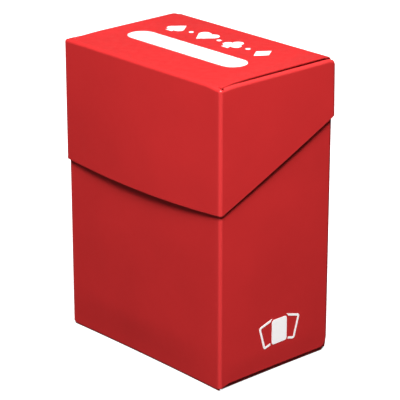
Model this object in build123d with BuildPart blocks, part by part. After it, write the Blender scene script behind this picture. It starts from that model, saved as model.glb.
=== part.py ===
"""Flip-lid deck box for trading cards, folded from polypropylene sheet.

Frame: origin at the centre of the foot of the whole box, +Z up, the front faces -Y.
A living hinge at the top rear edge joins the lid to the body. All sizes in millimetres.
"""
from build123d import *
import os

# ---------------------------------------------------------------- overall sizes
body_width = 71.0  # outside of the side panels
body_depth = 47.2  # outside of the front panel to outside of the back panel
height = 97.0  # floor to the top face of the lid

# ---------------------------------------------------------------- sheet and folds
sheet = 0.5  # thickness of the polypropylene
fold_radius = 1.0  # outside radius of every crease but the hinge
hinge_radius = 1.6  # outside radius of the living hinge
adhesive = 0.1  # thickness of the glue between two laps

# ---------------------------------------------------------------- lid
lid_clearance = 0.1  # gap between the lid's skirt and the body
lid_rest_gap = 0.3  # gap between the folds of the wing tabs and the top edges of the body
lid_front_drop = 39.6  # top of the box to the lower edge of the lid front, at the corners
lid_edge_bow = 1.2  # how much lower that edge is in its middle
wing_rear_drop = 18.2  # top of the box to the lowest point of a wing's rear edge
wing_rear_inset = 0.4  # back face of the box to the rear edge of a wing
lid_side_inset = 1.6  # outside of a wing to the cut side edge of the lid top
wing_tab_reach = 12.0  # how far a tab reaches inward past its fold
tab_corner = 6.0  # cut corners of the tabs
wing_fold_end = 0.3  # rear edge of a wing to the rear end of its fold
notch_radius = 0.8  # relief notches at the corners of the lid top

# ---------------------------------------------------------------- body
foot_gap = 1.1  # floor to the lower edge of the side panels at the front
foot_rise = 0.7  # how much higher that edge is behind its front corner
foot_ramp = 3.0  # length over which it rises there
side_rear_inset = 1.6  # back face of the box to the rear edge of a side panel
side_corner = 2.2  # rounded lower rear corner of a side panel
side_top_corner = 2.0  # rounded top rear corner of a side panel
glue_flap_reach = 18.0
dust_flap_height = 14.0
dust_flap_corner = 4.0
flap_gap = 1.0  # clearance between flaps that lie in one layer
thumb_notch_radius = 11.0
glue_margin = 3.0  # bare edge around a glued area

# ---------------------------------------------------------------- divider
divider_side_gap = 1.15  # gap to the flaps on each side
divider_top_gap = 3.0  # top edge of the body to the top edge of the divider
divider_corner = 3.0
divider_clearance = 0.3  # gap to the floor of the box and to the walls at the ends of its travel
divider_from_back = 14.0  # inner face of the back panel to the middle of the divider at rest

# ---------------------------------------------------------------- print
ink = 0.06  # thickness of a printed layer
label_right_margin = 12.3  # outside of the right wing to the end of the label
label_left_margin = 9.1  # outside of the left wing to the end of the label
label_width = 9.2
label_from_front = 20.5  # outside of the lid front to the middle of the label
pip_size = 7.6
pip_count = 4
pips_inset = 5.9  # end of the label to the middle of the pip beside it
pips_from_front = 34.2  # outside of the lid front to the middle of the pips
dot_radius = 0.8  # dots between the pips
card_icon_width = 6.4
card_icon_height = 8.2
card_icon_corner = 0.9
card_icon_line = 0.7
icon_above_floor = 13.4
icon_from_back = 22.15
icon_spread = 4.6  # sideways shift of each outer card from the middle one
icon_tilt = 16.0  # degrees

# ---------------------------------------------------------------- places worked out from the sizes
overlap = sheet + lid_clearance  # how far the lid stands outside the body
overall_depth = body_depth + overlap
back_face = overall_depth / 2
body_front = back_face - body_depth
lid_front_face = -overall_depth / 2
body_side = body_width / 2
lid_side = body_side + overlap
flap_face = body_side - sheet - adhesive  # outside of the glue flaps and dust flaps
lid_top_side = lid_side - lid_side_inset
tab_top = height - sheet - adhesive
body_top = tab_top - fold_radius - lid_rest_gap
back_top = height - hinge_radius
wing_rear = back_face - wing_rear_inset
lid_front_foot = height - lid_front_drop
wing_rear_foot = height - wing_rear_drop
lid_fold_front = lid_front_face + fold_radius
body_fold_front = body_front + fold_radius
body_fold_back = back_face - fold_radius
tab_fold_side = lid_side - fold_radius
bottom_side = flap_face - fold_radius
glue_flap_foot = dust_flap_height + flap_gap
label_middle = (label_left_margin - label_right_margin) / 2
label_length = 2 * lid_side - label_left_margin - label_right_margin


def corner_fold(centre, radius, start_angle):
    """Draw the quarter ring of a crease: outside radius, one sheet thick, from start_angle on."""
    with BuildLine(mode=Mode.PRIVATE) as ring:
        outer = CenterArc(centre, radius, start_angle, 90)
        inner = CenterArc(centre, radius - sheet, start_angle, 90)
        Line(outer @ 0, inner @ 0)
        Line(outer @ 1, inner @ 1)
    add(ring.line)
    make_face()


def finish(builder, name):
    """Name a finished piece and write it to its own file."""
    builder.part.label = name
    export_step(builder.part, f"parts/{name}.step")


os.makedirs("parts", exist_ok=True)

# ================================================================ body

# Front panel: flat board, a corner fold at each side and the bottom fold.
with BuildPart() as front_panel:
    with BuildSketch(Plane.XZ.offset(-body_front)) as front_board:
        with Locations((0, (fold_radius + body_top) / 2)):
            Rectangle(2 * (body_side - fold_radius), body_top - fold_radius)
        with Locations((0, body_top)):
            Circle(thumb_notch_radius, mode=Mode.SUBTRACT)
    extrude(amount=-sheet)
    with BuildSketch(Plane.XY.offset(foot_gap)) as front_corner_folds:
        corner_fold((body_side - fold_radius, body_fold_front), fold_radius, 270)
        corner_fold((fold_radius - body_side, body_fold_front), fold_radius, 180)
    extrude(amount=body_top - foot_gap)
    with BuildSketch(Plane.YZ.offset(fold_radius - body_side)) as front_bottom_fold:
        corner_fold((body_fold_front, fold_radius), fold_radius, 180)
    extrude(amount=2 * (body_side - fold_radius))
finish(front_panel, "front_panel")

# Back panel: flat board, a corner fold at each side and the bottom fold.
with BuildPart() as back_panel:
    with BuildSketch(Plane.XZ.offset(-back_face)) as back_board:
        with Locations((0, (fold_radius + back_top) / 2)):
            Rectangle(2 * bottom_side, back_top - fold_radius)
    extrude(amount=sheet)
    with BuildSketch(Plane.XY.offset(foot_gap)) as back_corner_folds:
        corner_fold((bottom_side, body_fold_back), fold_radius, 0)
        corner_fold((-bottom_side, body_fold_back), fold_radius, 90)
    extrude(amount=back_top - foot_gap)
    with BuildSketch(Plane.YZ.offset(-bottom_side)) as back_bottom_fold:
        corner_fold((body_fold_back, fold_radius), fold_radius, 270)
    extrude(amount=2 * bottom_side)
finish(back_panel, "back_panel")

# Bottom panel: the flat board between the front and back bottom folds and the dust flap folds.
with BuildPart() as bottom_panel:
    with BuildSketch(Plane.XY) as bottom_board:
        with Locations((0, (body_fold_front + body_fold_back) / 2)):
            Rectangle(2 * bottom_side, body_fold_back - body_fold_front)
    extrude(amount=sheet)
finish(bottom_panel, "bottom_panel")


def side_panel(side):
    """Outer side panel, side +1 right or -1 left: rounded rear corners, lower edge raised off the floor."""
    side_rear = back_face - side_rear_inset
    with BuildPart() as panel:
        with BuildSketch(Plane.YZ.offset(side * body_side)) as outline:
            with BuildLine():
                Polyline(
                    (body_fold_front, foot_gap),
                    (body_fold_front + foot_ramp, foot_gap + foot_rise),
                    (side_rear, foot_gap + foot_rise),
                    (side_rear, body_top),
                    (body_fold_front, body_top),
                    close=True,
                )
            make_face()
            fillet(outline.vertices().group_by(Axis.X)[-1].sort_by(Axis.Y)[0], radius=side_corner)
            fillet(outline.vertices().group_by(Axis.X)[-1].sort_by(Axis.Y)[-1], radius=side_top_corner)
        extrude(amount=-side * sheet)
    return panel


def glue_flap(side):
    """Inner flap folded from the back panel, glued under the side panel."""
    flap_front = body_fold_back - glue_flap_reach
    with BuildPart() as flap:
        with BuildSketch(Plane.YZ.offset(side * flap_face)) as outline:
            with Locations(((flap_front + body_fold_back) / 2, (glue_flap_foot + back_top) / 2)):
                Rectangle(glue_flap_reach, back_top - glue_flap_foot)
            chamfer(outline.vertices().group_by(Axis.X)[0], length=glue_flap_reach / 4)
        extrude(amount=-side * sheet)
    return flap


def dust_flap(side):
    """Low flap folded up from the bottom panel, with its fold."""
    flap_front = body_fold_front + flap_gap
    flap_back = body_fold_back - flap_gap
    with BuildPart() as flap:
        with BuildSketch(Plane.YZ.offset(side * flap_face)) as outline:
            with Locations(((flap_front + flap_back) / 2, (fold_radius + dust_flap_height) / 2)):
                Rectangle(flap_back - flap_front, dust_flap_height - fold_radius)
            fillet(outline.vertices().group_by(Axis.Y)[-1], radius=dust_flap_corner)
        extrude(amount=-side * sheet)
        with BuildSketch(Plane.XZ.offset(-flap_front)) as bottom_fold:
            corner_fold((side * bottom_side, fold_radius), fold_radius, 270 if side > 0 else 180)
        extrude(amount=flap_front - flap_back)
    return flap


def side_adhesive(side):
    """Glue under one side panel: a tall strip on the glue flap and a low one on the dust flap."""
    flap_front = body_fold_back - glue_flap_reach
    strip_width = glue_flap_reach - 2 * glue_margin - side_rear_inset
    strip_foot = glue_flap_foot + glue_flap_reach / 4 + glue_margin
    strip_top = back_top - glue_flap_reach / 4 - glue_margin
    low_front = body_fold_front + flap_gap + dust_flap_corner
    low_back = body_fold_back - flap_gap - dust_flap_corner
    low_foot = foot_gap + glue_margin
    low_top = dust_flap_height - glue_margin
    with BuildPart() as glue:
        with BuildSketch(Plane.YZ.offset(side * (body_side - sheet))):
            with Locations((flap_front + glue_margin + strip_width / 2, (strip_foot + strip_top) / 2)):
                Rectangle(strip_width, strip_top - strip_foot)
            with Locations(((low_front + low_back) / 2, (low_foot + low_top) / 2)):
                Rectangle(low_back - low_front, low_top - low_foot)
        extrude(amount=-side * adhesive)
    return glue


# ================================================================ lid

# Lid top: flat board with cut side edges and relief notches at its corners.
with BuildPart() as lid_top:
    lid_top_rear = back_face - hinge_radius
    with BuildSketch(Plane.XY.offset(height)) as top_board:
        with Locations((0, (lid_fold_front + lid_top_rear) / 2)):
            Rectangle(2 * lid_top_side, lid_top_rear - lid_fold_front)
        with Locations((lid_top_side, lid_fold_front), (-lid_top_side, lid_fold_front)):
            Circle(notch_radius, mode=Mode.SUBTRACT)
        with Locations((lid_top_side, lid_top_rear), (-lid_top_side, lid_top_rear)):
            Circle(notch_radius, mode=Mode.SUBTRACT)
    extrude(amount=-sheet)
finish(lid_top, "lid_top")

# Lid front: flat board with a bowed lower edge, two corner folds and the fold up to the lid top.
with BuildPart() as lid_front:
    lid_corner = lid_side - fold_radius
    lid_board_top = height - fold_radius
    with BuildSketch(Plane.XZ.offset(-lid_front_face)) as lid_board:
        with BuildLine():
            lower_edge = ThreePointArc(
                (-lid_corner, lid_front_foot),
                (0, lid_front_foot - lid_edge_bow),
                (lid_corner, lid_front_foot),
            )
            Polyline(
                lower_edge @ 1,
                (lid_corner, lid_board_top),
                (-lid_corner, lid_board_top),
                lower_edge @ 0,
            )
        make_face()
    extrude(amount=-sheet)
    with BuildSketch(Plane.XY.offset(lid_front_foot)) as lid_corner_folds:
        corner_fold((lid_corner, lid_fold_front), fold_radius, 270)
        corner_fold((-lid_corner, lid_fold_front), fold_radius, 180)
    extrude(amount=lid_board_top - lid_front_foot)
    with BuildSketch(Plane.YZ.offset(-lid_corner)) as lid_top_fold:
        corner_fold((lid_fold_front, lid_board_top), fold_radius, 90)
    extrude(amount=2 * lid_corner)
finish(lid_front, "lid_front")


def wing(side):
    """Side wing of the lid: slanted lower edge, short rear edge and the fold to its tab."""
    wing_top = tab_top - fold_radius
    fold_front = lid_fold_front + flap_gap
    fold_back = wing_rear - wing_fold_end
    with BuildPart() as wing_part:
        with BuildSketch(Plane.YZ.offset(side * lid_side)):
            with BuildLine():
                Polyline(
                    (lid_fold_front, lid_front_foot),
                    (wing_rear, wing_rear_foot),
                    (wing_rear, wing_top),
                    (lid_fold_front, wing_top),
                    close=True,
                )
            make_face()
        extrude(amount=-side * sheet)
        with BuildSketch(Plane.XZ.offset(-fold_front)) as tab_fold:
            corner_fold((side * tab_fold_side, wing_top), fold_radius, 0 if side > 0 else 90)
        extrude(amount=fold_front - fold_back)
    return wing_part


def wing_tab(side):
    """Tab folded inward from a wing, under the lid top."""
    tab_front = lid_fold_front + flap_gap
    tab_back = wing_rear - flap_gap
    with BuildPart() as tab:
        with BuildSketch(Plane.XY.offset(tab_top)) as outline:
            with Locations((side * (tab_fold_side - wing_tab_reach / 2), (tab_front + tab_back) / 2)):
                Rectangle(wing_tab_reach, tab_back - tab_front)
            inner_side = outline.vertices().group_by(Axis.X)[0 if side > 0 else -1]
            chamfer(inner_side, length=tab_corner)
        extrude(amount=-sheet)
    return tab


# Adhesive between the two tabs and the lid top.
with BuildPart() as lid_adhesive:
    glue_width = lid_top_side - (tab_fold_side - wing_tab_reach) - 2 * glue_margin
    glue_front = lid_fold_front + flap_gap + tab_corner
    glue_back = wing_rear - flap_gap - tab_corner
    glue_middle = (glue_front + glue_back) / 2
    with BuildSketch(Plane.XY.offset(tab_top)):
        with Locations(
            (lid_top_side - glue_margin - glue_width / 2, glue_middle),
            (glue_width / 2 + glue_margin - lid_top_side, glue_middle),
        ):
            Rectangle(glue_width, glue_back - glue_front)
    extrude(amount=adhesive)
finish(lid_adhesive, "lid_adhesive")

# Living hinge: the rounded crease between the back panel and the lid top.
with BuildPart() as hinge_strip:
    with BuildSketch(Plane.YZ.offset(notch_radius - lid_top_side)):
        with BuildLine():
            crease_centre = (back_face - hinge_radius, back_top)
            crease_outside = CenterArc(crease_centre, hinge_radius, 0, 90)
            crease_inside = CenterArc(crease_centre, hinge_radius - sheet, 0, 90)
            Line(crease_outside @ 0, crease_inside @ 0)
            Line(crease_outside @ 1, crease_inside @ 1)
        make_face()
    extrude(amount=2 * (lid_top_side - notch_radius))
finish(hinge_strip, "hinge_strip")

for side, side_name in ((-1, "left"), (1, "right")):
    finish(side_panel(side), f"{side_name}_side_panel")
    finish(glue_flap(side), f"{side_name}_glue_flap")
    finish(dust_flap(side), f"{side_name}_dust_flap")
    finish(side_adhesive(side), f"{side_name}_side_adhesive")
    finish(wing(side), f"{side_name}_wing")
    finish(wing_tab(side), f"{side_name}_wing_tab")

# ================================================================ divider

with BuildPart() as divider:
    divider_face = back_face - sheet - divider_from_back + sheet / 2
    divider_foot = sheet + divider_clearance
    divider_top = body_top - divider_top_gap
    divider_width = 2 * (flap_face - sheet - divider_side_gap)
    with BuildSketch(Plane.XZ.offset(-divider_face)):
        with Locations((0, (divider_foot + divider_top) / 2)):
            RectangleRounded(divider_width, divider_top - divider_foot, divider_corner)
    extrude(amount=sheet)
finish(divider, "divider")

# ================================================================ print

# Label strip: white write-on panel with round ends.
with BuildPart() as label_strip:
    with BuildSketch(Plane.XY.offset(height)):
        with Locations((label_middle, lid_front_face + label_from_front)):
            SlotOverall(label_length, label_width)
    extrude(amount=ink)
finish(label_strip, "label_strip")


def heart(size):
    """Heart pip: two round lobes over a point, size high, its centre at the sketch's origin."""
    lobe = size * 0.27
    with BuildSketch(mode=Mode.PRIVATE) as pip:
        with Locations((-lobe * 0.93, size / 2 - lobe), (lobe * 0.93, size / 2 - lobe)):
            Circle(lobe)
        with BuildLine():
            Polyline(
                (-lobe * 1.72, size / 2 - lobe * 1.6),
                (0, -size / 2),
                (lobe * 1.72, size / 2 - lobe * 1.6),
                (0, size / 2 - lobe * 0.9),
                close=True,
            )
        make_face()
    return pip.sketch


def diamond(size):
    """Diamond pip, size high."""
    with BuildSketch(mode=Mode.PRIVATE) as pip:
        with BuildLine():
            Polyline((0, size / 2), (size * 0.36, 0), (0, -size / 2), (-size * 0.36, 0), close=True)
        make_face()
    return pip.sketch


def stem(size):
    """Flared foot of the spade and the club."""
    with BuildSketch(mode=Mode.PRIVATE) as foot:
        with BuildLine():
            Polyline(
                (0, 0),
                (-size * 0.2, -size / 2),
                (size * 0.2, -size / 2),
                close=True,
            )
        make_face()
    return foot.sketch


def spade(size):
    """Spade pip: a heart upside down on a stem."""
    with BuildSketch(mode=Mode.PRIVATE) as pip:
        with Locations(Location((0, size * 0.08), 180)):
            add(heart(size * 0.84))
        add(stem(size))
    return pip.sketch


def club(size):
    """Club pip: three round leaves on a stem."""
    leaf = size * 0.23
    with BuildSketch(mode=Mode.PRIVATE) as pip:
        with Locations((0, size / 2 - leaf), (-leaf, -leaf * 0.3), (leaf, -leaf * 0.3)):
            Circle(leaf)
        Circle(leaf / 2)
        add(stem(size))
    return pip.sketch


# Row of card-suit pips behind the label, with a dot between each two.
with BuildPart() as top_print:
    with BuildSketch(Plane.XY.offset(height)):
        suits = (spade, heart, club, diamond)
        pip_pitch = (label_length - 2 * pips_inset) / (pip_count - 1)
        first_pip = label_middle - label_length / 2 + pips_inset
        for index in range(pip_count):
            with Locations((first_pip + index * pip_pitch, lid_front_face + pips_from_front)):
                add(suits[index % len(suits)](pip_size))
        for index in range(pip_count - 1):
            with Locations((first_pip + (index + 0.5) * pip_pitch, lid_front_face + pips_from_front)):
                Circle(dot_radius)
    extrude(amount=ink)
finish(top_print, "top_print")

# Three fanned blank cards on the right side panel: a full one over the outlines of two behind it.
with BuildPart() as side_print:
    with BuildSketch(Plane.YZ.offset(body_side)):
        icon_y = back_face - icon_from_back
        for lean in (1, -1):
            with Locations(Location((icon_y - lean * icon_spread, icon_above_floor), lean * icon_tilt)):
                RectangleRounded(card_icon_width, card_icon_height, card_icon_corner)
                RectangleRounded(
                    card_icon_width - 2 * card_icon_line,
                    card_icon_height - 2 * card_icon_line,
                    card_icon_corner / 2,
                    mode=Mode.SUBTRACT,
                )
        with Locations((icon_y, icon_above_floor)):
            RectangleRounded(
                card_icon_width + 2 * card_icon_line,
                card_icon_height + 2 * card_icon_line,
                card_icon_corner + card_icon_line,
                mode=Mode.SUBTRACT,
            )
            RectangleRounded(card_icon_width, card_icon_height, card_icon_corner)
    extrude(amount=ink)
finish(side_print, "side_print")
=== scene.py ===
"""Flip-lid deck box folded from red polypropylene sheet: its looks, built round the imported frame.

Every board is a closed shell worked out with numpy. A board is first laid out flat, as the die cuts it:
s and t are distances over the flat shape, and h is the height of a point off the middle of the sheet.
A place function then folds the board into its position in the box.
"""
import math

import bpy
import numpy as np
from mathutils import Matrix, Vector


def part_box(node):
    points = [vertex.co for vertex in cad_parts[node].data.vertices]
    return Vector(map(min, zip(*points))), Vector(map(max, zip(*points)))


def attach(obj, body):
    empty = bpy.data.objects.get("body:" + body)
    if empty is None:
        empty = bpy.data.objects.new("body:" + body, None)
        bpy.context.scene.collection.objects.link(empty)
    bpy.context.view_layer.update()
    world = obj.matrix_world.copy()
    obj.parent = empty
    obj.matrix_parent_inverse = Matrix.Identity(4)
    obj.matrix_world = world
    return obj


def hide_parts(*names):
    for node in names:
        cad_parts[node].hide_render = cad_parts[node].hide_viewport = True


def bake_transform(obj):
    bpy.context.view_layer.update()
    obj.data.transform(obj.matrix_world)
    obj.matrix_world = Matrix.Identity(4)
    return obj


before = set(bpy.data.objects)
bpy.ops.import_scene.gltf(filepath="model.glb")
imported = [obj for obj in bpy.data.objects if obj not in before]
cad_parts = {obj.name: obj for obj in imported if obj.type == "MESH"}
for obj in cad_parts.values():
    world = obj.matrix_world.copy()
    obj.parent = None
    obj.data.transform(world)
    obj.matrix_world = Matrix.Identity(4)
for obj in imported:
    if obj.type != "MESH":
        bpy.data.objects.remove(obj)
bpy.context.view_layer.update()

MM = 0.001

# ---------------------------------------------------------------- places, read from the frame


def low(node, axis):
    """Lowest coordinate of a node along axis 0, 1 or 2."""
    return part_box(node)[0][axis]


def high(node, axis):
    """Highest coordinate of a node along axis 0, 1 or 2."""
    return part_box(node)[1][axis]


SHEET = high("bottom_panel", 2) - low("bottom_panel", 2)
BODY_SIDE = high("right_side_panel", 0)
BODY_FRONT = low("front_panel", 1)
BODY_TOP = high("front_panel", 2)
BODY_FOLD_FRONT = low("right_side_panel", 1)
FOLD = BODY_FOLD_FRONT - BODY_FRONT
FOOT = low("right_side_panel", 2)
SIDE_REAR = high("right_side_panel", 1)
FLAP_FACE = high("right_glue_flap", 0)
FLAP_FRONT = low("right_glue_flap", 1)
FLAP_FOOT = low("right_glue_flap", 2)
DUST_TOP = high("right_dust_flap", 2)
BACK = high("back_panel", 1)
BACK_TOP = high("back_panel", 2)
TOP = high("lid_top", 2)
HINGE = TOP - BACK_TOP
HINGE_SIDE = high("hinge_strip", 0)
LID_SIDE = high("right_wing", 0)
LID_FRONT = low("lid_front", 1)
LID_FOOT = low("right_wing", 2)
LID_BOW = LID_FOOT - low("lid_front", 2)
LID_TOP_SIDE = high("lid_top", 0)
TAB_TOP = high("right_wing_tab", 2)
TAB_INNER = low("right_wing_tab", 0)
TAB_FRONT = low("right_wing_tab", 1)
TAB_BACK = high("right_wing_tab", 1)
WING_REAR = high("right_wing", 1)
WING_REAR_FOOT = TOP - 18.2 * MM  # rear end of a wing's slanted lower edge
CORNER_FRONT = LID_FRONT + FOLD  # front end of the wings' flat part

MIDDLE = FOLD - SHEET / 2  # radius of a crease at the middle of the sheet
ARC = MIDDLE * math.pi / 2  # length of a crease round its quarter turn
HALF = SHEET / 2
EDGE = 0.08 * MM  # rounding of a cut edge
PAD = 0.2 * MM  # support row beside an edge or a crease
THUMB_NOTCH = 11.0 * MM  # radius
FOOT_RISE = 0.7 * MM  # how much higher the side boards stand behind their front corners
FOOT_RAMP = 3.0 * MM  # length over which they rise there
SIDE_CORNER = 2.2 * MM
SIDE_TOP_CORNER = 2.0 * MM
RELIEF = 0.8 * MM  # radius of the notches at the lid top's corners
FLAP_CHAMFER = 4.5 * MM
TAB_CORNER = 6.0 * MM
TAB_FINE = 4 * MM  # rows of a tab stand close as far as this under the lid top
FOLD_END = 0.3 * MM  # rear edge of a wing to the end of its crease
FOLD_GROWTH = 0.3 * MM  # length in front of a tab over which the wing's crease grows to a quarter turn
CORNER_ARC = 0.45  # share of the quarter turn that the crease has in front of that
CAP_TOP = math.radians(78)  # climb of the lid's round corners, which end under the lid top
DUST_CORNER = 4.0 * MM
DIVIDER_CORNER = 3.0 * MM
HINGE_THINNING = 0.4  # share of the sheet that is squeezed away along the middle of the hinge

CORNER_TURNS = np.linspace(0, math.pi / 2, 9)  # turns round a small corner
ARC_PARTS = 8  # grid parts round a crease
BODY_ROWS = 60
FRONT_COLUMNS = 48
BACK_COLUMNS = 44
LID_COLUMNS = 56

# How far the soft sheet strays from flat boards, and the lengths over which it does.

SKIN = 1.0 * MM  # points this close to the outside of a board move in full
FRONT_BULGE = 0.7 * MM  # lid front: its foot bows out
BULGE_DEPTH = 6.0 * MM  # that has died out this far behind the front
MOST_DOWN = 1.2  # share of the way down at the lid front's lowest point, the wings' foot being at 1
WING_FLARE = 0.7 * MM  # wings: they stand off the body
FLARE_RUN = 0.62  # half turns that the flare's sine runs through to the rear
FLARE_DEPTH = 3.0 * MM
FLARE_SKIN = 0.6 * MM
REAR_CURL = 0.3 * MM  # rear edge of a wing: it curls in
REAR_CURL_REACH = 1.1 * MM
CORNER_DROOP = 0.6 * MM  # right top front corner of the lid: it is pressed down
LEFT_DROOP = 0.1 * MM
CORNER_REACH = 7 * MM
DROOP_DEPTH = 14 * MM
DROOP_FULL = 2 * MM
SHOULDER = 0.4 * MM  # crease of a wing: it springs up
SHOULDER_DEPTH = 9 * MM
SLIT = 0.3 * MM  # width of the valley between the lid top's edge and the rise to the crease
TAB_DIP = 0.45 * MM  # tab: it dips under the lid top's edge
DIP_REACH = 3 * MM
DIP_DEPTH = 2 * MM
REAR_DROOP = 0.7 * MM  # rear end of a wing's crease: it is pressed down
REAR_DROOP_REACH = 2.2 * MM
REAR_DROOP_DEPTH = 4 * MM
EDGE_CURL = 0.5 * MM  # cut side edges of the lid top: they stand up
CURL_WIDTH = 7 * MM
CURL_END = 2.0 * MM
QUICK_CURL = 0.6  # share of the rise that is quick
QUICK_START, QUICK_END = 0.03, 0.3  # shares of the way back
SLOW_START = 0.2
BODY_HOLLOW = 0.15 * MM  # body front: hollow halfway up
HOLLOW_DEPTH = 4 * MM
FOOT_TUCK = 0.5 * MM  # body front: its foot tucks in
FOOT_TUCK_TOP = 14 * MM
SIDE_TUCK = 0.25 * MM  # body sides: their foot draws in
SIDE_TUCK_DEPTH = 6 * MM
SIDE_TUCK_TOP = low("side_print", 2) - 0.1 * MM
CORNER_PRESS = 0.3 * MM  # rear corners of the body: they are pressed in at the foot
PRESS_REACH = 3 * MM
PRESS_FULL = 0.5 * MM
PRESS_TOP = 5 * MM

# ---------------------------------------------------------------- rows of distances


def steps(*stops):
    """Distances from stop to stop. Stops are (distance, parts since the last stop)."""
    runs = [np.array([stops[0][0]])]
    for (start, _), (end, parts) in zip(stops, stops[1:]):
        runs.append(np.linspace(start, end, parts + 1)[1:])
    return np.concatenate(runs)


def padded_steps(start, end, parts):
    """Even distances from start to end, with a close support row beside each end."""
    near = min(PAD, (end - start) / 4)
    return steps((start, 0), (start + near, 1), (end - near, parts), (end, 1))


def smooth(value, start, end):
    """0 before start, 1 after end, and a smooth rise between them."""
    share = np.clip((value - start) / (end - start), 0, 1)
    return share * share * (3 - 2 * share)


def rounding(into, radius):
    """How far a round corner cuts back where its edge is into past the start of the arc.

    It is the radius less the root of radius squared less into squared."""
    return radius - np.sqrt(np.clip(radius**2 - into**2, 0, None))


# ---------------------------------------------------------------- shells


def bend(past, radius, height):
    """A quarter-round crease: (run, rise) of a point past the crease line, height off the sheet's middle.

    Along the arc the point turns by past / radius about a centre radius below the sheet's middle,
    so run = (radius + height) * sin(turn) and rise = (radius + height) * cos(turn) - radius.
    Past the quarter turn the sheet runs straight down."""
    turn = np.clip(past / radius, 0, math.pi / 2)
    run = np.minimum(past, 0) + (radius + height) * np.sin(turn)
    rise = (radius + height) * np.cos(turn) - radius - np.maximum(past - radius * math.pi / 2, 0)
    return run, rise


def outline_normals(s, t, cut):
    """Outward directions of the flat shape's border, zero inside and along the sides that aren't cut.

    cut says, for the first row, last column, last row and first column, whether that side is a cut edge."""
    normals = np.zeros(s.shape + (2,))
    sides = (
        (cut[0], (0, slice(None)), 1),
        (cut[1], (slice(None), -1), 1),
        (cut[2], (-1, slice(None)), -1),
        (cut[3], (slice(None), 0), -1),
    )
    for is_cut, where, direction in sides:
        if not is_cut:
            continue
        ds = np.gradient(s[where]) * direction
        dt = np.gradient(t[where]) * direction
        length = np.hypot(ds, dt)
        normals[where] += np.stack([dt / length, -ds / length], axis=-1)
    return normals


def grid_quads(grid):
    """Quads between the point numbers of a grid."""
    corners = [grid[:-1, :-1], grid[:-1, 1:], grid[1:, 1:], grid[1:, :-1]]
    return np.stack(corners, axis=-1).reshape(-1, 4)


def shell(s, t, place, cut=(True, True, True, True), crease=None):
    """A closed board: two faces a sheet apart over the grid s, t, joined round the border.

    A cut side is rounded: its border runs through half a turn of radius EDGE, in 45 degree steps.
    A side that isn't cut is left square, to meet its neighbour. Returns points, quads and marks."""
    rows, columns = s.shape
    normals = outline_normals(s, t, cut)
    grid = np.arange(rows * columns).reshape(rows, columns)
    loop = np.concatenate([grid[0, :-1], grid[:-1, -1], grid[-1, :0:-1], grid[:0:-1, 0]])
    inset_s = s - normals[..., 0] * EDGE
    inset_t = t - normals[..., 1] * EDGE
    rim_s, rim_t = s.ravel()[loop], t.ravel()[loop]
    rim_n = normals.reshape(-1, 2)[loop]
    turns = (math.pi / 4, math.pi / 2, math.pi / 2, 3 * math.pi / 4)
    centres = (HALF - EDGE, HALF - EDGE, EDGE - HALF, EDGE - HALF)
    parts_s = [inset_s.ravel()] * 2
    parts_t = [inset_t.ravel()] * 2
    parts_h = [np.full(s.size, HALF), np.full(s.size, -HALF)]
    for turn, centre in zip(turns, centres):
        reach = EDGE * (math.sin(turn) - 1)
        parts_s.append(rim_s + rim_n[:, 0] * reach)
        parts_t.append(rim_t + rim_n[:, 1] * reach)
        parts_h.append(np.full(loop.size, centre + EDGE * math.cos(turn)))
    flat_s, flat_t, flat_h = (np.concatenate(p) for p in (parts_s, parts_t, parts_h))
    points = np.stack(place(flat_s, flat_t, flat_h), axis=-1)
    quad = grid_quads(grid)
    quads = [quad, quad[:, ::-1] + s.size]
    first_ring = 2 * s.size
    rings = [loop] + [first_ring + k * loop.size + np.arange(loop.size) for k in range(len(turns))]
    rings.append(loop + s.size)
    for upper, lower in zip(rings, rings[1:]):
        quads.append(np.stack([upper, lower, np.roll(lower, -1), np.roll(upper, -1)], axis=-1))
    quads = np.concatenate(quads)
    if signed_volume(points, quads) < 0:
        quads = quads[:, ::-1]
    cut_mark = np.zeros(len(points))
    cut_mark[first_ring:] = np.tile(np.hypot(rim_n[:, 0], rim_n[:, 1]) > 0.5, len(turns))
    crease_mark = np.zeros(len(points)) if crease is None else crease(flat_s, flat_t)
    return points, quads, cut_mark, crease_mark


def signed_volume(points, quads):
    """Volume inside a closed shell, negative where it is inside out."""
    a, b, c, d = (points[quads[:, k]] for k in range(4))
    first = np.einsum("ij,ij->i", a, np.cross(b, c))
    second = np.einsum("ij,ij->i", a, np.cross(c, d))
    return (first + second).sum() / 6


def between(s, lower, upper, rows):
    """A grid whose columns stand at s and run from lower(s) to upper(s), at the shares in rows."""
    share = rows[:, None]
    t = lower[None, :] * (1 - share) + upper[None, :] * share
    return np.broadcast_to(s[None, :], t.shape).copy(), t


def shares(length, parts):
    """Shares from 0 to 1 for rows over a length, with a close support row beside each end."""
    return padded_steps(0.0, length, parts) / length


def level(s, height):
    """A straight border at one height over the columns s."""
    return np.full(s.shape, height)


# ---------------------------------------------------------------- how the sheet bows


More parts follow.
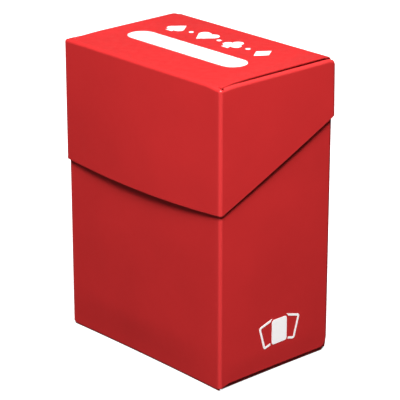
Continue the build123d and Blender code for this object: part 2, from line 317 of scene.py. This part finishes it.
def lid_bow(x, y, z):
    """Moves lid points as the soft sheet does: the front bows out, the wings stand off, the corners droop.

    The front moves out by FRONT_BULGE, times one less the square of x over the half width, times the
    share of the way down. The wings move out by WING_FLARE, times the sine of FLARE_RUN half turns
    taken in the share of the way back, times the share of the way down. Their rear edge curls in with
    the square of the share of REAR_CURL_REACH. The top front corners sink, fading out all round."""
    down = np.clip((TOP - z) / (TOP - LID_FOOT), 0, MOST_DOWN)
    across = np.clip(1 - (x / LID_SIDE) ** 2, 0, 1)
    front = smooth(-y, -LID_FRONT - BULGE_DEPTH, -LID_FRONT - SKIN)
    y = y - FRONT_BULGE * across * down * front
    along = (y - LID_FRONT) / (WING_REAR - LID_FRONT)
    at_side = smooth(np.abs(x), LID_SIDE - FLARE_DEPTH, LID_SIDE - FLARE_SKIN)
    curl = np.clip((y - WING_REAR + REAR_CURL_REACH) / REAR_CURL_REACH, 0, 1) ** 2
    flare = WING_FLARE * np.sin(np.clip(along * FLARE_RUN, 0, 1) * math.pi) * down
    x = x + np.sign(x) * (flare - REAR_CURL * curl) * at_side
    near_side = smooth(np.abs(x), LID_SIDE - CORNER_REACH, LID_SIDE)
    near_front = smooth(-y, -LID_FRONT - CORNER_REACH, -LID_FRONT)
    near_top = smooth(z, TOP - DROOP_DEPTH, TOP - DROOP_FULL)
    z = z - np.where(x > 0, CORNER_DROOP, LEFT_DROOP) * near_side * near_front * near_top
    return x, y, z


def tab_spring(x, y, z):
    """Moves points of a wing and its tab: the fold springs up, and the tab dips under the lid top.

    The fold rises by SHOULDER, and at its front end by all the height up to the lid top. Beside the
    lid top's edge the tab sinks by TAB_DIP. The fold's rear end sinks by REAR_DROOP."""
    reach = np.abs(x)
    crest = LID_SIDE - FOLD
    at_front = 1 - smooth(y, CORNER_FRONT, CORNER_FRONT + CORNER_REACH)
    height = SHOULDER + (TOP - TAB_TOP - SHOULDER) * at_front
    rise = smooth(reach, LID_TOP_SIDE + SLIT, crest)
    shoulder = rise * smooth(z, TAB_TOP - SHOULDER_DEPTH, TAB_TOP - FOLD)
    dip = (1 - rise) * smooth(reach, LID_TOP_SIDE - DIP_REACH, LID_TOP_SIDE)
    rear = smooth(y, WING_REAR - REAR_DROOP_REACH, WING_REAR)
    rear = rear * smooth(z, TAB_TOP - REAR_DROOP_DEPTH, TAB_TOP - FOLD)
    z = z + height * shoulder - TAB_DIP * dip * smooth(z, TAB_TOP - DIP_DEPTH, TAB_TOP - SKIN)
    return lid_bow(x, y, z - REAR_DROOP * rear)


def edge_curl(x, y):
    """How far the lid top's edge stands up: nothing at the front, rising quickly and then slowly to the rear.

    Of EDGE_CURL, the share QUICK_CURL comes with a smooth step from QUICK_START to QUICK_END of the way
    back, and the rest in line with that way. Over the last CURL_END before the hinge crease it all comes
    down to nothing again."""
    along = (y - LID_FRONT) / (BACK - HINGE - LID_FRONT)
    slow = (1 - QUICK_CURL) * along * smooth(along, 0.0, SLOW_START)
    rise = QUICK_CURL * smooth(along, QUICK_START, QUICK_END) + slow
    rise = rise * (1 - smooth(y, BACK - HINGE - CURL_END, BACK - HINGE))
    return EDGE_CURL * smooth(np.abs(x), LID_TOP_SIDE - CURL_WIDTH, LID_TOP_SIDE) * rise


def foot_tuck(x, y, z):
    """How far the sides draw in along their foot: most halfway back, nothing at the corners.

    It is SIDE_TUCK times the root of the sine of the share of the way back, fading out upwards."""
    along = np.clip((y - BODY_FOLD_FRONT) / (BACK - FOLD - BODY_FOLD_FRONT), 0, 1)
    at_foot = smooth(np.abs(x), FLAP_FACE - SIDE_TUCK_DEPTH, FLAP_FACE - SKIN)
    at_foot = at_foot * (1 - smooth(z, SKIN, SIDE_TUCK_TOP))
    return -np.sign(x) * SIDE_TUCK * np.sqrt(np.sin(along * math.pi)) * at_foot


def side_bow(x, y, z):
    """Moves side board points: the foot draws in."""
    return x + foot_tuck(x, y, z), y, z


def body_bow(x, y, z):
    """Moves body points as the soft sheet does.

    The front board is hollow by BODY_HOLLOW times the sine of the share of the way up, and tucks in
    at its foot by FOOT_TUCK, both times one less the square of x over the half width. The sides draw
    in along their foot, and the rear corners are pressed in at theirs by CORNER_PRESS."""
    across = np.clip(1 - (x / BODY_SIDE) ** 2, 0, 1)
    up = np.sin(np.clip(z / BODY_TOP, 0, 1) * math.pi)
    at_front = smooth(-y, -BODY_FRONT - HOLLOW_DEPTH, -BODY_FRONT - SKIN)
    inward = BODY_HOLLOW * up + FOOT_TUCK * (1 - smooth(z, 0, FOOT_TUCK_TOP))
    pressed = smooth(np.abs(x), FLAP_FACE - PRESS_REACH, FLAP_FACE) * smooth(y, BACK - PRESS_REACH, BACK)
    pressed = CORNER_PRESS * pressed * (1 - smooth(z, PRESS_FULL, PRESS_TOP))
    x = x + foot_tuck(x, y, z) - np.sign(x) * pressed
    return x, y + inward * across * at_front - pressed, z


# ---------------------------------------------------------------- materials


class Nodes:
    """A material's node tree, with short calls to add and join nodes."""

    def __init__(self, name):
        self.material = bpy.data.materials.new(name)
        self.material.use_nodes = True
        self.tree = self.material.node_tree
        self.shader = self.tree.nodes["Principled BSDF"]

    def add(self, kind, **settings):
        """A new node. Each setting is the value of the input of that name, or else a property."""
        node = self.tree.nodes.new(kind)
        for key, value in settings.items():
            if key in node.inputs:
                node.inputs[key].default_value = value
            else:
                setattr(node, key, value)
        return node

    def join(self, source, target):
        """Links an output to an input."""
        self.tree.links.new(source, target)

    def noise(self, scale, detail=2.0, roughness=0.5):
        """Noise over the piece's Object coordinates, scale in lumps per metre."""
        place = self.add("ShaderNodeTexCoord")
        noise = self.add("ShaderNodeTexNoise", Scale=scale, Detail=detail, Roughness=roughness)
        self.join(place.outputs["Object"], noise.inputs["Vector"])
        return noise.outputs["Fac"]

    def ramp(self, value, low_out, high_out, low_in=0.0, high_in=1.0):
        """value mapped from one range to another."""
        node = self.add("ShaderNodeMapRange")
        ends = {"From Min": low_in, "From Max": high_in, "To Min": low_out, "To Max": high_out}
        for key, number in ends.items():
            node.inputs[key].default_value = number
        self.join(value, node.inputs["Value"])
        return node.outputs["Result"]

    def mix(self, share, first, second):
        """first where share is 0 and second where it is 1; a colour or a socket each."""
        node = self.add("ShaderNodeMix", data_type="RGBA")
        self.join(share, node.inputs["Factor"])
        for key, colour in (("A", first), ("B", second)):
            socket = [i for i in node.inputs if i.name == key and i.type == "RGBA"][0]
            if isinstance(colour, tuple):
                socket.default_value = colour + (1.0,)
            else:
                self.join(colour, socket)
        return [o for o in node.outputs if o.type == "RGBA"][0]

    def mark(self, name):
        """A value stored on the piece's points."""
        return self.add("ShaderNodeAttribute", attribute_name=name).outputs["Fac"]

    def bump(self, height, distance, strength, under=None):
        """A surface raised by height times distance, over the surface under it."""
        node = self.add("ShaderNodeBump")
        node.inputs["Distance"].default_value = distance
        node.inputs["Strength"].default_value = strength
        self.join(height, node.inputs["Height"])
        if under is not None:
            self.join(under, node.inputs["Normal"])
        return node.outputs["Normal"]


def red_sheet(name, deep, bright):
    """Extruded polypropylene: clouded red, a fine satin grain, paler cut edges, and paler creases that are
    partly the sheet's stress whitening and partly a painted highlight along the folds.
    """
    m = Nodes(name)
    clouds = m.ramp(m.noise(45.0, detail=3.0), 0.0, 1.0, 0.3, 0.7)
    base = m.mix(clouds, deep, bright)
    # paler creases: partly the sheet's stress whitening, partly a painted highlight along the folds
    whitened_and_highlit = m.mix(m.ramp(m.mark("crease"), 0.0, 0.5), base, (0.70, 0.045, 0.046))
    edged = m.mix(m.ramp(m.mark("cut_edge"), 0.0, 0.5), whitened_and_highlit, (0.66, 0.04, 0.04))
    m.join(edged, m.shader.inputs["Base Color"])
    grain = m.noise(2600.0, detail=1.0)
    waves = m.noise(160.0, detail=2.0)
    m.join(m.ramp(m.noise(420.0, detail=3.0), 0.36, 0.46, 0.3, 0.7), m.shader.inputs["Roughness"])
    swell = m.bump(waves, 0.00012, 0.25)
    m.join(m.bump(grain, 0.000012, 0.6, swell), m.shader.inputs["Normal"])
    m.shader.inputs["Specular IOR Level"].default_value = 0.45
    m.shader.inputs["IOR"].default_value = 1.49
    return m.material


def white_ink(name, shade, warm, roughness, glow):
    """Opaque white screen-printed ink: faint mottling and a dry, slightly rough film; glow sets a faint
    emission, a painted glow that brightens the ink.
    """
    m = Nodes(name)
    mottle = m.ramp(m.noise(900.0, detail=3.0), 0.0, 1.0, 0.35, 0.65)
    m.join(m.mix(mottle, shade, warm), m.shader.inputs["Base Color"])
    rough = m.ramp(m.noise(1500.0), roughness - 0.06, roughness + 0.06, 0.3, 0.7)
    m.join(rough, m.shader.inputs["Roughness"])
    m.join(m.bump(m.noise(3200.0), 0.00001, 0.4), m.shader.inputs["Normal"])
    m.shader.inputs["Specular IOR Level"].default_value = 0.35
    m.shader.inputs["Emission Color"].default_value = (1.0, 0.97, 0.97, 1.0)
    m.shader.inputs["Emission Strength"].default_value = glow
    return m.material


def clear_glue(name):
    """Thin film of dried adhesive."""
    m = Nodes(name)
    cloudy = m.ramp(m.noise(700.0, detail=3.0), 0.0, 1.0, 0.3, 0.7)
    m.join(m.mix(cloudy, (0.78, 0.72, 0.6), (0.9, 0.86, 0.78)), m.shader.inputs["Base Color"])
    m.join(m.ramp(cloudy, 0.18, 0.32), m.shader.inputs["Roughness"])
    m.join(m.bump(m.noise(500.0), 0.00003, 0.5), m.shader.inputs["Normal"])
    return m.material


RED = red_sheet("red polypropylene sheet", (0.585, 0.0235, 0.0245), (0.635, 0.026, 0.027))
DIVIDER_RED = red_sheet("red divider sheet", (0.60, 0.022, 0.024), (0.66, 0.027, 0.029))
LABEL_WHITE = white_ink("white write-on label", (0.88, 0.88, 0.88), (0.92, 0.92, 0.91), 0.6, 0.0)
# the print's emission is a painted glow that makes it brighter than the lights alone would
PRINT_WHITE = white_ink("white print", (0.93, 0.90, 0.90), (0.96, 0.94, 0.94), 0.5, 0.2)
GLUE = clear_glue("clear adhesive film")

CREASE_INSIDE = 0.3 * MM  # a crease's paler tint, stress whitening and painted highlight, is full this far inside its ends
CREASE_OUTSIDE = 0.5 * MM  # and not at all this far past them
# these scale the paler crease tint, partly stress whitening and partly painted highlight
CAP_MARK = 0.6  # how strongly the lid's round corners, its front crease and its hinge are marked
LID_CREASE_MARK = 0.15
HINGE_MARK = 0.2
SHARP_ANGLE = math.radians(55)

# ---------------------------------------------------------------- pieces


def piece(name, shells, material, nodes, body=None):
    """Joins shells into one mesh, shades it, and sets it to stand for its nodes and ride on its body."""
    points, quads, cut_marks, crease_marks, count = [], [], [], [], 0
    for part_points, part_quads, cut_mark, crease_mark in shells:
        points.append(part_points)
        quads.append(part_quads + count)
        cut_marks.append(cut_mark)
        crease_marks.append(crease_mark)
        count += len(part_points)
    mesh = bpy.data.meshes.new(name)
    mesh.from_pydata(np.concatenate(points).tolist(), [], np.concatenate(quads).tolist())
    for mark_name, marks in (("cut_edge", cut_marks), ("crease", crease_marks)):
        attribute = mesh.attributes.new(mark_name, "FLOAT", "POINT")
        attribute.data.foreach_set("value", np.concatenate(marks).astype(np.float32))
    mesh.polygons.foreach_set("use_smooth", np.ones(len(mesh.polygons), bool))
    mesh.set_sharp_from_angle(angle=SHARP_ANGLE)
    mesh.materials.append(material)
    mesh.validate()
    thing = bpy.data.objects.new(name, mesh)
    bpy.context.scene.collection.objects.link(thing)
    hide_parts(*nodes)
    if body is not None:
        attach(thing, body)
    return thing


def near_crease(past):
    """Mark of a crease's paler tint, partly stress whitening and partly painted highlight: 1 in the middle of
    the quarter turn, fading out past both ends.
    """
    started = smooth(past, -CREASE_OUTSIDE, CREASE_INSIDE)
    return started * (1 - smooth(past, ARC - CREASE_INSIDE, ARC + CREASE_OUTSIDE))


def side_creases(half_flat):
    """Marks of the two corner creases of a board across X, half_flat from its middle."""
    return lambda s, t: near_crease(np.abs(s) - half_flat)


def board_columns(half_flat, parts):
    """Columns over a board with a crease at each side: even over its flat part, close round the creases."""
    flat = half_flat - PAD
    right = steps((flat, 0), (half_flat, 1), (half_flat + ARC, ARC_PARTS))
    return np.concatenate([-right[::-1], steps((-flat, 0), (flat, parts))[1:-1], right])


def folded_board(face, outward, half_flat, bow):
    """Place function of an upright board across X, with a corner crease at each side.

    s is the distance across and t the height. outward is -1 where the board faces -Y."""

    def place(s, t, h):
        run, rise = bend(np.abs(s) - half_flat, MIDDLE, h)
        x = np.sign(s) * (half_flat + run)
        y = face - outward * HALF + outward * rise
        return bow(x, y, t + 0 * s)

    return place


def floor_fold(face, outward, line, sign, bow):
    """Place function of a crease along X that turns an upright board, facing outward along Y, inward.

    t is the distance past the crease line, which is at height line; sign is -1 for a crease at the foot
    and +1 for one at the top."""

    def place(s, t, h):
        run, rise = bend(t, MIDDLE, h)
        return bow(s, face - outward * HALF + outward * rise, line + sign * run)

    return place


def crease_shell(face, outward, line, sign, bow, half_width, columns, start=0.0, ends_cut=True, crease_tint=1.0):
    """The quarter round of a crease along X, from start past its line to its end. crease_tint scales its
    mark, the paler tint that is partly stress whitening and partly painted highlight.
    """
    s = padded_steps(-half_width, half_width, columns)
    ahead = [(start, 0), (0.0, 1)] if start < 0 else [(0.0, 0)]
    t = steps(*ahead, (ARC, ARC_PARTS))
    return shell(
        *np.meshgrid(s, t),
        floor_fold(face, outward, line, sign, bow),
        cut=(False, ends_cut, False, ends_cut),
        crease=lambda a, b: crease_tint * near_crease(b),
    )


def corner_cap(side):
    """Round top front corner of the lid, side +1 right or -1 left: part of a ball of the creases' radius.

    s is the turn from the front face to the wing, t the climb from the corner crease up to CAP_TOP."""

    def place(s, t, h):
        radius = MIDDLE + h
        x = side * (LID_SIDE - FOLD + radius * np.sin(s) * np.cos(t))
        y = CORNER_FRONT - radius * np.cos(s) * np.cos(t)
        return lid_bow(x, y, TOP - FOLD + radius * np.sin(t))

    grid = np.meshgrid(CORNER_TURNS, np.linspace(0, CAP_TOP, 8))
    cut = (False, False, True, False)
    return shell(*grid, place, cut=cut, crease=lambda a, b: np.full(a.shape, CAP_MARK))


# ================================================================ body pieces


def make_front_panel():
    """Front board with its corner creases, the thumb notch and the bottom crease.

    Over the notch the top edge is lower by the root of THUMB_NOTCH squared less s squared."""
    half_flat = BODY_SIDE - FOLD
    place = folded_board(BODY_FRONT, -1, half_flat, body_bow)
    notch = THUMB_NOTCH * np.sin(np.linspace(-math.pi / 2, math.pi / 2, 33))
    outer = board_columns(half_flat, FRONT_COLUMNS)
    s = np.concatenate([outer[outer < -THUMB_NOTCH - PAD], notch, outer[outer > THUMB_NOTCH + PAD]])
    inside = np.clip(THUMB_NOTCH**2 - s**2, 0, None)
    top = BODY_TOP - np.sqrt(inside)
    grid = between(s, level(s, FOOT), top, shares(BODY_TOP - FOOT, BODY_ROWS))
    board = shell(*grid, place, cut=(False, False, True, False), crease=side_creases(half_flat))
    foot = crease_shell(BODY_FRONT, -1, FOLD, -1, body_bow, half_flat, FRONT_COLUMNS, start=FOLD - FOOT)
    return piece("front_panel_sheet", [board, foot], RED, ["front_panel"], "body")


def make_back_panel():
    """Back board with its corner creases and the bottom crease. The hinge takes over at its top."""
    half_flat = FLAP_FACE - FOLD
    place = folded_board(BACK, 1, half_flat, body_bow)
    s = board_columns(half_flat, BACK_COLUMNS)
    grid = between(s, level(s, FOOT), level(s, BACK_TOP), shares(BACK_TOP - FOOT, BODY_ROWS))
    board = shell(*grid, place, cut=(False, False, False, False), crease=side_creases(half_flat))
    foot = crease_shell(BACK, 1, FOLD, -1, body_bow, half_flat, BACK_COLUMNS, start=FOLD - FOOT)
    return piece("back_panel_sheet", [board, foot], RED, ["back_panel"], "body")


def make_bottom_panel():
    """Flat bottom board between the four creases round it."""
    half_width = FLAP_FACE - FOLD
    s = padded_steps(-half_width, half_width, 40)
    t = padded_steps(BODY_FRONT + FOLD, BACK - FOLD, 28)

    def place(a, b, h):
        return body_bow(a, b, HALF - h)

    board = shell(*np.meshgrid(s, t), place, cut=(False, False, False, False))
    return piece("bottom_panel_sheet", [board], RED, ["bottom_panel"], "body")


def upright(side, face, bow):
    """Place function of a flat board across Y, side +1 right or -1 left: s runs back and t up."""
    return lambda s, t, h: bow(side * (face - HALF + h), s, t)


def make_side_panel(side, word):
    """Outer side board: rounded lower rear corner, small rounded top rear corner.

    Behind its front corner the lower edge rises in a straight line by FOOT_RISE over FOOT_RAMP."""
    round_start = SIDE_REAR - SIDE_CORNER
    ramp_end = BODY_FOLD_FRONT + FOOT_RAMP
    ramp = padded_steps(BODY_FOLD_FRONT, ramp_end, 4)
    flat = padded_steps(ramp_end, round_start, 28)[1:]
    turn = np.linspace(0, math.pi / 2, 13)[1:]
    s = np.concatenate([ramp, flat, round_start + SIDE_CORNER * np.sin(turn)])
    foot = FOOT + FOOT_RISE * np.clip((s - BODY_FOLD_FRONT) / FOOT_RAMP, 0, 1)
    foot = foot + rounding(np.clip(s - round_start, 0, None), SIDE_CORNER)
    top = BODY_TOP - rounding(np.clip(s - (SIDE_REAR - SIDE_TOP_CORNER), 0, None), SIDE_TOP_CORNER)
    grid = between(s, foot, top, shares(BODY_TOP - FOOT, BODY_ROWS))
    board = shell(*grid, upright(side, BODY_SIDE, side_bow), cut=(True, True, True, False))
    return piece(f"{word}_side_panel_sheet", [board], RED, [f"{word}_side_panel"], "body")


def make_glue_flap(side, word):
    """Inner flap of the back board, with its front corners cut off at 45 degrees over FLAP_CHAMFER."""
    s = steps(
        (FLAP_FRONT, 0),
        (FLAP_FRONT + PAD, 1),
        (FLAP_FRONT + FLAP_CHAMFER, 4),
        (BACK - PRESS_REACH, 8),
        (BACK - FOLD, 5),
    )
    into = np.clip(FLAP_FRONT + FLAP_CHAMFER - s, 0, None)
    grid = between(s, FLAP_FOOT + into, BACK_TOP - into, shares(BACK_TOP - FLAP_FOOT, 50))
    board = shell(*grid, upright(side, FLAP_FACE, body_bow), cut=(True, False, True, True))
    return piece(f"{word}_glue_flap_sheet", [board], RED, [f"{word}_glue_flap"], "body")


def make_dust_flap(side, word):
    """Low flap of the bottom board, folded up, with rounded top corners."""
    node = f"{word}_dust_flap"
    front, back = low(node, 1), high(node, 1)
    front_round = front + DUST_CORNER * (1 - np.cos(CORNER_TURNS))
    back_round = back - DUST_CORNER * (1 - np.cos(CORNER_TURNS[::-1]))
    middle = np.linspace(front + DUST_CORNER, back - DUST_CORNER, 26)[1:-1]
    s = np.concatenate([front_round, middle, back_round])
    from_end = np.minimum(s - front, back - s)
    length = ARC + DUST_TOP - FOLD
    top = length - rounding(np.clip(DUST_CORNER - from_end, 0, None), DUST_CORNER)
    rows = steps((0.0, 0), (ARC, ARC_PARTS), (length - PAD, 14), (length, 1)) / length

    def place(a, b, h):
        run, rise = bend(b, MIDDLE, h)
        return body_bow(side * (FLAP_FACE - FOLD + run), a, HALF - rise)

    grid = between(s, level(s, 0.0), top, rows)
    board = shell(*grid, place, cut=(False, True, True, True), crease=lambda a, b: near_crease(b))
    return piece(f"{word}_dust_flap_sheet", [board], RED, [node], "body")


# ================================================================ lid pieces


def make_lid_front():
    """Front board of the lid: bowed lower edge, corner creases and the crease up to the lid top.

    The lower edge hangs lower by LID_BOW, times one less the square of s over the half width."""
    half_flat = LID_SIDE - FOLD
    place = folded_board(LID_FRONT, -1, half_flat, lid_bow)
    s = board_columns(half_flat, LID_COLUMNS)
    share = np.clip(s / half_flat, -1, 1)
    foot = LID_FOOT - LID_BOW * (1 - share**2)
    line = TOP - FOLD
    grid = between(s, foot, level(s, line), shares(line - LID_FOOT, 30))
    board = shell(*grid, place, cut=(True, False, False, False), crease=side_creases(half_flat))
    fold = crease_shell(
        LID_FRONT, -1, line, 1, lid_bow, half_flat, LID_COLUMNS, ends_cut=False, crease_tint=LID_CREASE_MARK
    )
    caps = [corner_cap(side) for side in (-1, 1)]
    return piece("lid_front_sheet", [board, fold, *caps], RED, ["lid_front"], "lid")


def make_lid_top():
    """Lid top with relief notches at its corners and cut side edges, which curl up a little off the tabs."""
    front, rear = LID_FRONT + FOLD, BACK - HINGE
    flat = LID_TOP_SIDE - RELIEF
    corner = LID_TOP_SIDE - RELIEF * np.cos(CORNER_TURNS)
    s = np.concatenate([-corner[::-1], padded_steps(-flat, flat, 52)[1:-1], corner])
    into = np.clip(np.abs(s) - flat, 0, RELIEF)
    bite = np.where(into > 0, np.sqrt(np.clip(RELIEF**2 - (RELIEF - into) ** 2, 0, None)), 0)
    grid = between(s, front + bite, rear - bite, shares(rear - front, 36))

    def place(a, b, h):
        return lid_bow(a, b, TOP - HALF + h + edge_curl(a, b))

    board = shell(*grid, place, cut=(False, True, False, True))
    return piece("lid_top_sheet", [board], RED, ["lid_top"], "lid")


def make_wing(side, word):
    """Wing: slanted lower edge, short rear edge, and the crease that turns in to its tab.

    The lower edge climbs in a straight line from LID_FOOT to WING_REAR_FOOT. The crease runs through
    CORNER_ARC of its quarter turn in front of the tab, and grows to all of it over FOLD_GROWTH."""
    fold_line = TAB_TOP - FOLD
    rear_start = WING_REAR - REAR_CURL_REACH
    s = steps((CORNER_FRONT, 0), (CORNER_FRONT + PAD, 1), (rear_start, 40), (WING_REAR, 6))
    share = (s - s[0]) / (s[-1] - s[0])
    foot = LID_FOOT + (WING_REAR_FOOT - LID_FOOT) * share
    grid = between(s, foot, level(s, fold_line), shares(fold_line - LID_FOOT, 26))

    def board_place(a, b, h):
        return tab_spring(side * (LID_SIDE - HALF + h), a, b)

    board = shell(*grid, board_place, cut=(True, True, False, False))
    growth = TAB_FRONT - FOLD_GROWTH
    fold_rear = WING_REAR - FOLD_END
    s = steps((CORNER_FRONT, 0), (growth, 4), (TAB_FRONT, 6), (rear_start, 36), (fold_rear, 5))
    end = ARC * (CORNER_ARC + (1 - CORNER_ARC) * smooth(s, growth, TAB_FRONT))
    grid = between(s, level(s, 0.0), end, np.linspace(0, 1, ARC_PARTS + 1))

    def fold_place(a, b, h):
        run, rise = bend(b, MIDDLE, h)
        return tab_spring(side * (LID_SIDE - HALF + rise), a, fold_line + run)

    fold = shell(*grid, fold_place, cut=(False, True, False, False), crease=lambda a, b: near_crease(b))
    return piece(f"{word}_wing_sheet", [board, fold], RED, [f"{word}_wing"], "lid")


def make_wing_tab(side, word):
    """Tab under the lid top, with its inner corners cut off at 45 degrees over TAB_CORNER."""
    outer = LID_SIDE - FOLD
    s = padded_steps(TAB_FRONT, TAB_BACK, 36)
    columns_in = outer - LID_TOP_SIDE
    short = np.clip(TAB_CORNER - np.minimum(s - TAB_FRONT, TAB_BACK - s), 0, None)
    length = outer - TAB_INNER
    rows = steps((0.0, 0), (columns_in, 5), (columns_in + TAB_FINE, 6), (length, 5)) / length
    grid = between(s, level(s, 0.0), length - short, rows)

    def place(a, b, h):
        return tab_spring(side * (outer - b), a, TAB_TOP - HALF + h)

    board = shell(*grid, place, cut=(False, True, True, True))
    return piece(f"{word}_wing_tab_sheet", [board], RED, [f"{word}_wing_tab"], "lid")


def make_hinge():
    """Living hinge: a quarter round from the back board to the lid top, thinned along its middle.

    From its outer face in, the sheet is thinner by HINGE_THINNING times the fourth power of the sine
    of the share of the way over, which runs through half a turn."""
    middle = HINGE - HALF
    arc = middle * math.pi / 2
    s = padded_steps(-HINGE_SIDE, HINGE_SIDE, 52)
    t = steps((0.0, 0), (arc, 16))

    def over(b):
        return np.sin(np.clip(b / arc, 0, 1) * math.pi)

    def place(a, b, h):
        thin = 1 - HINGE_THINNING * over(b) ** 4
        run, rise = bend(b, middle, HALF + (h - HALF) * thin)
        return a, BACK - HALF + rise, BACK_TOP + run

    cut = (False, True, False, True)
    strip = shell(*np.meshgrid(s, t), place, cut=cut, crease=lambda a, b: HINGE_MARK * over(b))
    hinge = piece("hinge_strip_sheet", [strip], RED, ["hinge_strip"])
    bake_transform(hinge)
    return hinge


def make_divider():
    """Loose divider board across the box, with four rounded corners.

    Its foot curves back as the front board's does: back by half the front board's tuck, times one less
    the square of the share of the half width."""
    half_width = high("divider", 0)
    foot, top = low("divider", 2), high("divider", 2)
    face = (low("divider", 1) + high("divider", 1)) / 2
    corner = half_width - DIVIDER_CORNER * (1 - np.sin(CORNER_TURNS))
    s = np.concatenate([-corner[::-1], padded_steps(-corner[0], corner[0], 40)[1:-1], corner])
    short = rounding(np.clip(np.abs(s) - corner[0], 0, DIVIDER_CORNER), DIVIDER_CORNER)
    grid = between(s, foot + short, top - short, shares(top - foot, 50))

    def place(a, b, h):
        bent = FOOT_TUCK / 2 * (1 - smooth(b, 0, FOOT_TUCK_TOP)) * (1 - (a / half_width) ** 2)
        return a, face + h + bent, b

    board = shell(*grid, place)
    return piece("divider_sheet", [board], DIVIDER_RED, ["divider"], "divider")


# ================================================================ build

make_front_panel()
make_back_panel()
make_bottom_panel()
make_lid_front()
make_lid_top()
make_hinge()
make_divider()
for side, word in ((-1, "left"), (1, "right")):
    make_side_panel(side, word)
    make_glue_flap(side, word)
    make_dust_flap(side, word)
    make_wing(side, word)
    make_wing_tab(side, word)

NODE_FINISH = {
    "left_side_adhesive": GLUE,
    "right_side_adhesive": GLUE,
    "lid_adhesive": GLUE,
    "label_strip": LABEL_WHITE,
    "top_print": PRINT_WHITE,
    "side_print": PRINT_WHITE,
}
for node, material in NODE_FINISH.items():
    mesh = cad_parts[node].data
    mesh.materials.clear()
    mesh.materials.append(material)

# ---------------------------------------------------------------- stage, lights and camera

FLOOR_SIZE = 3.0
FLOOR_GLOW = 0.85
FILL = 0.04  # strength of the light that comes from all round
AZIMUTH = math.radians(47.82)
ELEVATION = math.radians(20.31)
DISTANCE = 0.6317  # from TARGET to the camera
TARGET = np.array([0.00056, 0.0003, 0.04715])
LENS = 180.0
LIT_POINT = (0, 0, 0.05)  # where the lights are aimed
# Name, place, size, power in watts, and whether the sheet's gloss shows it.
LIGHTS = (
    ("key softbox", (0.28, -0.235, 0.54), 0.22, 6.3, True),
    ("high softbox", (0.18, -0.18, 0.66), 0.22, 1.2, True),
    ("front softbox", (0.05, -0.85, 0.40), 0.5, 0.7, True),
    ("rear bounce", (-0.72, 0.52, 0.16), 0.4, 7.0, False),
)


def make_floor():
    """Pale floor: a wide flat sheet with a faint mottled finish."""
    axis = np.linspace(-FLOOR_SIZE, FLOOR_SIZE, 9)
    x, y = np.meshgrid(axis, axis)
    points = np.stack([x, y, np.zeros_like(x)], axis=-1).reshape(-1, 3)
    quads = grid_quads(np.arange(x.size).reshape(x.shape))
    mesh = bpy.data.meshes.new("floor")
    mesh.from_pydata(points.tolist(), [], quads.tolist())
    m = Nodes("pale floor")
    m.join(m.mix(m.noise(3.0), (0.58, 0.58, 0.58), (0.62, 0.62, 0.62)), m.shader.inputs["Base Color"])
    m.shader.inputs["Emission Color"].default_value = (1.0, 1.0, 1.0, 1.0)
    m.shader.inputs["Emission Strength"].default_value = FLOOR_GLOW
    m.shader.inputs["Roughness"].default_value = 0.9
    m.shader.inputs["Specular IOR Level"].default_value = 0.1
    mesh.materials.append(m.material)
    floor = bpy.data.objects.new("floor", mesh)
    bpy.context.scene.collection.objects.link(floor)
    floor.visible_diffuse = False
    floor.visible_glossy = False


def aim(thing, target):
    """Turns a light or camera so that it looks at target."""
    direction = Vector(np.array(target) - np.array(thing.location))
    thing.rotation_euler = direction.to_track_quat("-Z", "Y").to_euler()


def softbox(name, place, size, power, glossy):
    """A square area light aimed at the box; glossy says whether the sheet's gloss shows it."""
    light = bpy.data.lights.new(name, "AREA")
    light.shape = "SQUARE"
    light.size = size
    light.energy = power
    thing = bpy.data.objects.new(name, light)
    bpy.context.scene.collection.objects.link(thing)
    thing.location = place
    thing.visible_camera = False
    thing.visible_glossy = glossy
    aim(thing, LIT_POINT)


def make_world():
    """White studio surround: white to the camera, and a dimmer fill for the light it sheds."""
    world = bpy.data.worlds.new("studio")
    bpy.context.scene.world = world
    world.use_nodes = True
    nodes, links = world.node_tree.nodes, world.node_tree.links
    fill = nodes["Background"]
    fill.inputs["Color"].default_value = (1.0, 1.0, 1.0, 1.0)
    fill.inputs["Strength"].default_value = FILL
    seen = nodes.new("ShaderNodeBackground")
    seen.inputs["Color"].default_value = (1.0, 1.0, 1.0, 1.0)
    seen.inputs["Strength"].default_value = 1.0
    path = nodes.new("ShaderNodeLightPath")
    choose = nodes.new("ShaderNodeMixShader")
    links.new(path.outputs["Is Camera Ray"], choose.inputs["Fac"])
    links.new(fill.outputs["Background"], choose.inputs[1])
    links.new(seen.outputs["Background"], choose.inputs[2])
    links.new(choose.outputs["Shader"], nodes["World Output"].inputs["Surface"])


make_floor()
make_world()
for light in LIGHTS:
    softbox(*light)

camera_data = bpy.data.cameras.new("camera")
camera_data.lens = LENS
camera_data.clip_start = 0.01
camera = bpy.data.objects.new("camera", camera_data)
bpy.context.scene.collection.objects.link(camera)
towards_camera = np.array(
    [
        math.sin(AZIMUTH) * math.cos(ELEVATION),
        -math.cos(AZIMUTH) * math.cos(ELEVATION),
        math.sin(ELEVATION),
    ]
)
camera.location = TARGET + DISTANCE * towards_camera
aim(camera, TARGET)
bpy.context.scene.camera = camera
bpy.context.scene.view_settings.view_transform = "Standard"
